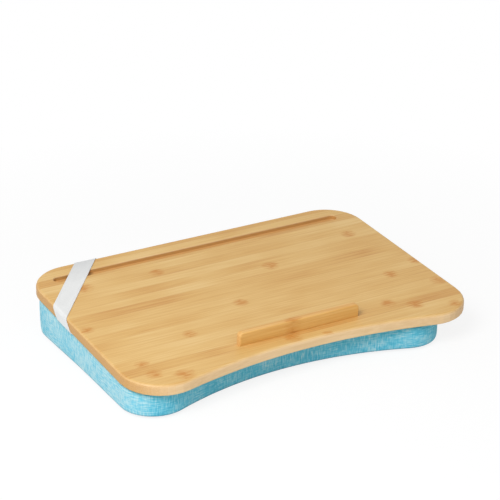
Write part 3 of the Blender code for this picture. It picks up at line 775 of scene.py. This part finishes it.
def bag_rows(inset, base, roof_drop, bulge):
    """Rows of a closed cushion skin: crowned underside, upright wall and flat top.

    Returns the points, their map places, and the rows where the two seams lie.
    """
    rim = cushion_outline(inset)
    foot = cushion_outline(inset + crown_run)
    mx, my = cushion_centre, (cushion_front + cushion_hollow_rise + cushion_rear) / 2
    lengths = path_lengths(rim + rim[:1])
    rows = []
    for step in range(cap_steps):
        share = cap_core + (1 - cap_core) * step / cap_steps
        rows.append([(mx + (x - mx) * share, my + (y - my) * share, base) for x, y in foot])
    for share in crown_shares:
        z = base + crown_rise * share ** crown_power
        rows.append([(fx + (x - fx) * share, fy + (y - fy) * share, z)
                     for (x, y), (fx, fy) in zip(rim, foot)])
    bottom_seam = len(rows) - 1
    flat = [[(x, y) for x, y, _ in row + row[:1]] for row in rows]
    uvs = list(flat)
    wall = wall_shares()
    for share in wall:
        swell = bulge * (1 - abs(2 * share - 1) ** crown_power)
        ring = cushion_outline(inset - swell)
        line = []
        for x, y in ring:
            low = base + crown_rise
            high = top_height(y) - roof_drop
            line.append((x, y, low + (high - low) * share))
        rows.append(line)
        uvs.append([(length, line[i % len(line)][2]) for i, length in enumerate(lengths)])
    top_seam = len(rows) - 1
    for step in range(cap_steps + 1):
        share = 1 - (1 - cap_core) * step / cap_steps
        line = []
        for x, y in rim:
            px = mx + (x - mx) * share
            py = my + (y - my) * share
            line.append((px, py, top_height(py) - roof_drop))
        rows.append(line)
        uvs.append([(x, y) for x, y, _ in line + line[:1]])
    return rows, uvs, bottom_seam, top_seam


def bag_mesh(rows, uvs, seams=()):
    """Closed skin over the rows, welded at the seams and in the middle of both caps.

    At a seam two rows lie on each other, its own and the next one.
    """
    bm = grid_mesh(rows, uvs, closed=True)
    sewn = bm.verts.layers.float.new("sewn")
    crease = bm.edges.layers.float.new("crease_edge")
    bm.verts.ensure_lookup_table()
    count = len(rows[0])
    for seam in seams:
        for vertex in bm.verts[seam * count:(seam + 2) * count]:
            vertex[sewn] = 1.0
    bmesh.ops.remove_doubles(bm, verts=bm.verts, dist=weld_distance)
    for edge in bm.edges:
        if all(vertex[sewn] > 0 for vertex in edge.verts):
            edge[crease] = seam_crease
    rims = [edge for edge in bm.edges if edge.is_boundary]
    cores = bmesh.ops.edgeloop_fill(bm, edges=rims)["faces"]
    layer = bm.loops.layers.uv["Weave"]
    for face in cores:
        for loop in face.loops:
            loop[layer].uv = loop.vert.co.xy
    for face in bmesh.ops.triangulate(bm, faces=cores)["faces"]:
        for edge in face.edges:
            edge[crease] = 1.0
    bmesh.ops.recalc_face_normals(bm, faces=bm.faces)
    return bm


def inflate(piece, held, limit):
    """Swell a closed skin by cloth pressure; no point moves further than the limit."""
    group = piece.vertex_groups.new(name="held")
    group.add(held, 1.0, "REPLACE")
    step = piece.modifiers.new("cloth", "CLOTH")
    step.settings.vertex_group_mass = group.name
    step.settings.use_pressure = True
    step.settings.uniform_pressure_force = swell_pressure
    step.settings.effector_weights.gravity = 0
    step.point_cache.frame_start = 1
    step.point_cache.frame_end = swell_frames
    for number in range(1, swell_frames + 1):
        scene.frame_set(number)
    graph = bpy.context.evaluated_depsgraph_get()
    swollen = piece.evaluated_get(graph)
    moved = [vertex.co.copy() for vertex in swollen.data.vertices]
    piece.modifiers.remove(step)
    scene.frame_set(1)
    for vertex, place in zip(piece.data.vertices, moved):
        move = place - vertex.co
        if move.length > limit:
            move *= limit / move.length
        vertex.co += move


def settle(piece, low):
    """Keep a piece above one height, as the table does."""
    for vertex in piece.data.vertices:
        vertex.co.z = max(vertex.co.z, low)


def on_rear_wall(point):
    return point.y > cushion_rear - 2 * swell_limit


def in_mouth(point):
    """Whether a point lies within the zip's mouth in the rear wall, edges included."""
    across = zip_left - mouth_margin < point.x < zip_right + mouth_margin
    up = abs(point.z - zip_height) < zip_mouth / 2 + mouth_margin
    return on_rear_wall(point) and across and up


def open_mouth(piece):
    """Take the cloth out of the zip's mouth."""
    bm = bmesh.new()
    bm.from_mesh(piece.data)
    inside = [f for f in bm.faces if all(in_mouth(v.co) for v in f.verts)]
    bmesh.ops.delete(bm, geom=inside, context="FACES")
    bm.to_mesh(piece.data)
    bm.free()


def pucker(piece):
    """Pinch the cloth in at its seams, with small gathers that run from them into the wall."""
    middle = Vector((cushion_centre, 0, 0))
    sewn = piece.data.attributes["sewn"].data
    for vertex in piece.data.vertices:
        point = vertex.co
        away = Vector((point.x - middle.x, point.y - middle.y, 0)).normalized()
        if sewn[vertex.index].value > 0:
            vertex.co -= away * seam_pinch
            continue
        fall = min(abs(point.z - crown_rise), abs(point.z - top_height(point.y)))
        if point.z < crown_rise - crown_margin or not pucker_start <= fall <= pucker_reach:
            continue
        low = zip_left - pucker_clear_of_zip
        high = zip_right + pucker_clear_of_zip
        if on_rear_wall(point) and low < point.x < high:
            continue
        depth = (1 - fall / pucker_reach) ** 2
        ripple = noise.noise(Vector((point.x, point.y, 0.0)) * pucker_scale)
        vertex.co += away * ripple * depth * pucker_depth


def cushion_cover(finish):
    """The sewn cover, swollen by its filling, with the zip's mouth in its rear wall."""
    rows, uvs, *seams = bag_rows(seam_inset + start_inset, 0.0, 0.0, start_inset)
    bm = bag_mesh(rows, uvs, seams)
    mesh = bpy.data.meshes.new("cushion_cover")
    bm.to_mesh(mesh)
    bm.free()
    piece = add_object("cushion_cover", mesh, finish)
    held = []
    for vertex in mesh.vertices:
        point = vertex.co
        wall_top = top_height(point.y) - edge_tolerance
        wall = crown_rise + edge_tolerance < point.z < wall_top
        crown = edge_tolerance / 2 < point.z < crown_rise - edge_tolerance
        if not (wall or crown) or in_mouth(point):
            held.append(vertex.index)
    inflate(piece, held, swell_limit)
    settle(piece, 0.0)
    open_mouth(piece)
    pucker(piece)
    mesh.shade_smooth()
    smooth_out(piece)
    thicken(piece, cloth_thickness, -1)
    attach(piece, "cushion")
    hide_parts("cover_top_panel", "cover_bottom_panel", "cover_band",
                "cover_rear_strip_upper", "cover_rear_strip_lower")
    return piece


def inner_bag(name, inset, base, finish, slot, fill, *replaced):
    """The liner or its filling: the cover's form, smaller, with soft creases."""
    rows, uvs, *_ = bag_rows(inset, base, base, inner_bulge)
    bm = bag_mesh(rows, uvs)
    wide, narrow = inner_crease_scales
    for vertex in bm.verts:
        crease = noise.noise(vertex.co * wide) + 0.5 * noise.noise(vertex.co * narrow)
        vertex.co -= vertex.normal * inner_crease * (1 + crease)
        vertex.co.z = max(vertex.co.z, base)
    piece = add_piece(name, bm, finish, "cushion")
    smooth_out(piece)
    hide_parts(*replaced)
    return piece


def fold_path(lift):
    """Path round a board edge, a lift off the wood: distance past the edge, and height."""
    top = board_top_round
    low = board_bottom_round
    steps = strap_fold_steps
    upper = arc((-top, board_thickness - top), top + lift, 90, 0, steps)
    lower = arc((-low, low), low + lift, 0, -90, steps)
    tail = [(-low - strap_tail * (i + 1) / strap_tail_steps, -lift)
            for i in range(strap_tail_steps)]
    return upper + lower + tail


def strap_rows():
    """Rows across the strap, from its rear tail over the board's top to its side tail."""
    rear_x = -board_width / 2 + board_rear_radius + strap_rear_clear
    side_y = board_depth / 2 - board_rear_radius - strap_side_clear
    run = Vector((rear_x + board_width / 2, board_depth / 2 - side_y)).normalized()
    lift = strap_seat + strap_thickness / 2
    path = fold_path(lift)
    lengths = path_lengths(path)
    rear_half = strap_width / 2 / run.y
    side_half = strap_width / 2 / run.x
    rear_rows = []
    side_rows = []
    for (out, height), length in zip(path, lengths):
        x = rear_x + length * run.x / run.y
        y = board_depth / 2 + out
        rear_rows.append(((x - rear_half, y, height), (x + rear_half, y, height)))
        x = -board_width / 2 - out
        y = side_y - length * strap_side_lean
        side_rows.append(((x, y + side_half, height), (x, y - side_half, height)))
    between = []
    for i in range(1, strap_top_steps):
        share = i / strap_top_steps
        pair = [Vector(a).lerp(Vector(b), share) for a, b in zip(rear_rows[0], side_rows[0])]
        between.append(pair)
    rows = []
    for low, high in rear_rows[::-1] + between + side_rows:
        low = Vector(low)
        high = Vector(high)
        rows.append([low.lerp(high, j / strap_columns) for j in range(strap_columns + 1)])
    return rows


def elastic_strap(finish):
    rows = strap_rows()
    uvs = []
    length = 0.0
    for number, row in enumerate(rows):
        if number:
            middle = strap_columns // 2
            length += (row[middle] - rows[number - 1][middle]).length
        uvs.append([(length, strap_width * j / strap_columns) for j in range(strap_columns + 1)])
    placed = [[board_point(*point) for point in row] for row in rows]
    bm = grid_mesh(placed, uvs)
    bmesh.ops.recalc_face_normals(bm, faces=bm.faces)
    piece = add_piece("elastic_strap", bm, finish, "board")
    smooth_out(piece)
    thicken(piece, strap_thickness * strap_squeeze, 0)
    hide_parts("corner_strap")
    return piece


def ledge_glue(finish):
    """Dried glue in the groove that the ledge's rounded lower edges leave on the board."""
    low, high = node_box("stop_ledge")
    bm = bmesh.new()
    plate_mesh(bm, low + Vector((glue_inset, glue_inset, 0)),
               high - Vector((glue_inset, glue_inset, 0)), glue_corner_radius,
               (board_thickness, board_thickness + glue_height))
    return add_piece("ledge_glue", bm, finish, "board")


def zip_tape(side, finish):
    """Woven zip tape in place of its CAD strip, slightly uneven."""
    low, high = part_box("zip_tape_" + side)
    y = (low.y + high.y) / 2
    rows = []
    for i in range(tape_rows + 1):
        x = low.x + (high.x - low.x) * i / tape_rows
        line = []
        for j in range(tape_columns + 1):
            z = low.z + (high.z - low.z) * j / tape_columns
            place = Vector((x * tape_sway_scale, z * tape_sway_scale, 0.0))
            line.append((x, y + tape_sway * noise.noise(place), z))
        rows.append(line)
    bm = grid_mesh(rows, [[(x, z) for x, _, z in line] for line in rows])
    piece = add_piece("woven_zip_tape_" + side, bm, finish, "cushion")
    thicken(piece, (high.y - low.y) * tape_squeeze, 0)
    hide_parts("zip_tape_" + side)
    return piece


def zip_coil(side, finish):
    """Spiral nylon coil in place of its CAD bar: a wire wound into flat turns."""
    low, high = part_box("zip_coil_" + side)
    half = (high - low) / 2 - Vector((1, 1, 1)) * coil_wire
    middle = (low + high) / 2
    turns = int((high.x - low.x - 2 * coil_wire) / coil_pitch)
    power_y, power_z = coil_squareness
    curve = bpy.data.curves.new("nylon_coil_" + side, "CURVE")
    curve.dimensions = "3D"
    curve.bevel_depth = coil_wire
    curve.bevel_resolution = 1
    curve.use_fill_caps = True
    spline = curve.splines.new("POLY")
    spline.points.add(turns * coil_turn_points)
    for i, point in enumerate(spline.points):
        angle = 2 * math.pi * i / coil_turn_points
        sine = math.sin(angle)
        cosine = math.cos(angle)
        x = low.x + coil_wire + coil_pitch * i / coil_turn_points
        y = middle.y + half.y * math.copysign(abs(cosine) ** power_y, cosine)
        z = middle.z + half.z * math.copysign(abs(sine) ** power_z, sine)
        point.co = (x, y, z, 1)
    piece = bpy.data.objects.new("nylon_coil_" + side, curve)
    curve.materials.append(finish)
    scene.collection.objects.link(piece)
    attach(piece, "cushion")
    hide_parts("zip_coil_" + side)
    return piece


def join_rings(bm, rings):
    """Closed tube through rings of vertices."""
    count = len(rings[0])
    for a, b in zip(rings, rings[1:]):
        for k in range(count):
            bm.faces.new((a[k], a[(k + 1) % count], b[(k + 1) % count], b[k]))
    bm.faces.new(rings[0][::-1])
    bm.faces.new(rings[-1])


def add_stitch(bm, start, end, out):
    """One thread stitch as a slim arched tube between two points."""
    side = (end - start).normalized().cross(out)
    section = arc((0, 0), stitch_radius, 0, 360, stitch_sides)[:-1]
    rings = []
    for share, lift in zip(stitch_shares, stitch_lifts):
        middle = start.lerp(end, share) + out * stitch_radius * lift
        rings.append([bm.verts.new(middle + side * x + out * y) for x, y in section])
    join_rings(bm, rings)


def zip_stitches(finish):
    """Lock stitches along both edges of the zip's mouth."""
    bm = bmesh.new()
    half = Vector((stitch_length / 2, 0, 0))
    count = int((zip_right - zip_left) / stitch_pitch)
    for sign in (-1, 1):
        z = zip_height + sign * (zip_mouth / 2 + stitch_margin)
        for i in range(count):
            x = zip_left + stitch_pitch * (i + 0.5)
            middle = Vector((x, cushion_rear - edge_tolerance, z))
            add_stitch(bm, middle - half, middle + half, Vector((0, 1, 0)))
    return add_piece("zip_stitches", bm, finish, "cushion")


def node_box(node):
    """Low and high corners of a CAD node's box in the board's own frame."""
    inverse = board_place.inverted()
    places = [inverse @ vertex.co for vertex in nodes[node].data.vertices]
    low = Vector([min(p[k] for p in places) for k in range(3)])
    high = Vector([max(p[k] for p in places) for k in range(3)])
    return low, high


def plate_mesh(bm, low, high, radius, levels):
    """Thin plate with rounded corners between two levels of the board's own frame."""
    right = high.x - radius
    left = low.x + radius
    rear = high.y - radius
    front = low.y + radius
    outline = []
    for centre, start in (((right, rear), 0), ((left, rear), 90),
                          ((left, front), 180), ((right, front), 270)):
        outline += arc(centre, radius, start, start + 90, plate_corner_steps)
    join_rings(bm, [[bm.verts.new(board_point(x, y, level)) for x, y in outline]
                    for level in levels])


def add_bristle(bm, points):
    """A short square hook or loop through some points."""
    half = bristle_width / 2
    section = ((-half, -half), (half, -half), (half, half), (-half, half))
    join_rings(bm, [[bm.verts.new(board_point(x + dx, y + dy, z)) for dx, dy in section]
                    for x, y, z in points])


def fastener_tape(node, finish, body, sign, shape, pitch, seed):
    """Hook or loop tape in place of its CAD strip: a backing with rows of bristles.

    The sign says whether the bristles stand up or hang down.
    """
    low, high = node_box(node)
    chance = random.Random(seed)
    stray_x, stray_y = bristle_strays
    bm = bmesh.new()
    levels = (low.z, low.z + tape_back)
    root = low.z + tape_back
    if sign < 0:
        levels = (high.z - tape_back, high.z)
        root = high.z - tape_back
    plate_mesh(bm, low, high, tape_corner_radius, levels)
    y = low.y + bristle_margin
    while y < high.y - bristle_margin:
        x = low.x + bristle_margin
        while x < high.x - bristle_margin:
            turn = chance.uniform(-bristle_turn, bristle_turn)
            foot_x = x + chance.uniform(-stray_x, stray_x) * pitch
            foot_y = y + chance.uniform(-stray_y, stray_y) * pitch
            add_bristle(bm, [(foot_x + dx, foot_y + dy + turn * dx, root + sign * dz)
                             for dx, dy, dz in shape])
            x += pitch
        y += pitch
    bmesh.ops.recalc_face_normals(bm, faces=bm.faces)
    piece = add_piece("bristled_" + node, bm, finish, body)
    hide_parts(node)
    return piece


def dress(names, finish):
    """Give CAD nodes that are shown as they are their own surface."""
    for name in names:
        mesh = nodes[name].data
        mesh.materials.clear()
        mesh.materials.append(finish)


def add_lamp(name, direction, distance, size, power):
    """Square soft box that faces the middle of the desk."""
    lamp = bpy.data.lights.new(name, "AREA")
    lamp.size = size
    lamp.energy = power
    made = bpy.data.objects.new(name, lamp)
    made.location = direction.normalized() * distance
    made.rotation_euler = (-direction).to_track_quat("-Z", "Y").to_euler()
    scene.collection.objects.link(made)


def add_camera():
    flat = math.cos(camera_elevation)
    look = Vector((math.sin(camera_azimuth) * flat, math.cos(camera_azimuth) * flat,
                   -math.sin(camera_elevation)))
    lens = bpy.data.cameras.new("camera")
    lens.lens = camera_lens
    lens.sensor_width = camera_sensor
    made = bpy.data.objects.new("camera", lens)
    made.location = camera_target - look * camera_distance
    made.rotation_euler = look.to_track_quat("-Z", "Y").to_euler()
    scene.collection.objects.link(made)
    scene.camera = made


def add_world():
    world = bpy.data.worlds.new("studio")
    world.use_nodes = True
    n = Nodes(world.node_tree)
    background = n.tree.nodes["Background"]
    background.inputs["Color"].default_value = (1, 1, 1, 1)
    strength = n.span(n.seen_plainly(), 0.0, 1.0, sky_strength, background_strength)
    n.put(background.inputs["Strength"], strength)
    scene.world = world


def add_floor():
    """Large floor that looks white to the camera and keeps a soft shadow."""
    bm = bmesh.new()
    bmesh.ops.create_grid(bm, x_segments=4, y_segments=4, size=floor_half_size)
    mesh = bpy.data.meshes.new("floor")
    bm.to_mesh(mesh)
    bm.free()
    s = Surface("white_floor", 1.0)
    s.tree.nodes.remove(s.shader)
    paint = s.node("BsdfDiffuse")
    paint.inputs["Color"].default_value = floor_paint
    glow = s.node("Emission")
    glow.inputs["Strength"].default_value = background_strength
    away = s.node("VectorMath", operation="LENGTH")
    s.put(away.inputs[0], s.object_place())
    fade = s.span(away.outputs["Value"], shadow_reach, shadow_end, floor_glow, 1.0)
    mixed = s.node("MixShader")
    share = s.times(s.seen_plainly(), fade)
    for socket, value in zip(mixed.inputs, (share, paint.outputs[0], glow.outputs[0])):
        s.put(socket, value)
    s.put(s.tree.nodes["Material Output"].inputs["Surface"], mixed.outputs[0])
    floor = add_object("floor", mesh, s.material)
    floor.location.z = -floor_drop


board_shades = (
    (0.16, colour(195, 141, 75)),
    (0.45, colour(209, 165, 97)),
    (0.70, colour(218, 180, 115)),
    (0.95, colour(225, 192, 134)),
)
ledge_shades = (
    (0.20, colour(204, 150, 80)),
    (0.50, colour(220, 172, 102)),
    (0.90, colour(232, 192, 128)),
)
joint_tint = colour(166, 112, 56)
knuckle_tint = colour(190, 120, 40)
board_side = (colour(218, 184, 136), colour(230, 198, 152))
board_end = (colour(182, 134, 74), colour(202, 158, 96))
groove_burn_and_shade_tint = colour(200, 152, 90)
ledge_side = (colour(211, 157, 80), colour(225, 181, 107))
ledge_end = (colour(216, 166, 100), colour(228, 184, 120))

top_knuckles = [(x, board_depth / 2 - back, size, bow) for x, back, size, bow in board_knuckles]
ledge_low, ledge_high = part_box("stop_ledge")
ledge_y = (ledge_low.y + ledge_high.y) / 2

add_camera()
for lamp in lamps:
    add_lamp(*lamp)
add_world()
add_floor()

# The cover's cloth has a painted highlight at its left end and a line of painted shade along its
# lower seam
turquoise = woven_surface("turquoise_linen", colour(60, 163, 195), colour(97, 191, 215),
                          colour(182, 219, 226), 0.0008, slub=0.9,
                          seam_shade_tint=colour(56, 120, 142))
liner_cloth = woven_surface("white_liner_cloth", colour(214, 213, 208), colour(226, 225, 221),
                            colour(236, 235, 232), 0.0006, slub=0.5, sheen=0.1)
tape_cloth = woven_surface("turquoise_zip_tape", colour(62, 140, 162), colour(84, 162, 184),
                           colour(110, 184, 202), 0.0007, slub=0.4)
hook_plastic = nylon_surface("hook_nylon", colour(196, 196, 190), colour(214, 214, 208))
loop_yarn = nylon_surface("loop_yarn", colour(208, 208, 204), colour(226, 226, 222))
coil_nylon = nylon_surface("turquoise_nylon", colour(84, 160, 180), colour(112, 188, 206))
steel = metal_surface("bright_steel", colour(200, 200, 198), colour(166, 166, 165), 0.32)
zinc = metal_surface("satin_zinc", colour(186, 188, 190), colour(148, 150, 153), 0.38)

dress(["board_panel"], bamboo_surface("board_bamboo", board_shades, board_side, board_end,
                                      top_knuckles, 11.3, groove_burn_and_shade_tint=groove_burn_and_shade_tint))
ledge_wood = bamboo_surface("ledge_bamboo_wood", ledge_shades, ledge_side, ledge_end,
                            [(ledge_knuckle_x, ledge_y, 1.0, 1)], 4.6, side_marks=0.6)
dress(["stop_ledge"], ledge_wood)
dress([name for name in nodes if name.startswith(("ledge_screw", "strap_staple"))], steel)
dress(["zip_slider", "zip_pull", "zip_bottom_stop", "zip_top_stop_upper",
       "zip_top_stop_lower"], zinc)

cushion_cover(turquoise)
inner_bag("liner_bag", liner_inset, liner_base, liner_cloth, "white_liner", inner_fill,
          "liner_lower", "liner_upper")
inner_bag("foam_beads", beads_inset, beads_base, beads_surface(), "bead_filling", inner_fill,
          "bead_filling")
elastic_strap(elastic_surface())
ledge_glue(ledge_wood)
for side in ("upper", "lower"):
    zip_tape(side, tape_cloth)
    zip_coil(side, coil_nylon)
zip_stitches(turquoise)

corners = ("rear_left", "rear_right", "front_left", "front_right")
for number, corner in enumerate(corners):
    fastener_tape("hook_tape_" + corner, hook_plastic, "board", -1, hook_shape,
                  hook_pitch, number)
    fastener_tape("loop_tape_" + corner, loop_yarn, "cushion", 1, loop_shape,
                  loop_pitch, number + len(corners))

scene.view_settings.view_transform = "Standard"
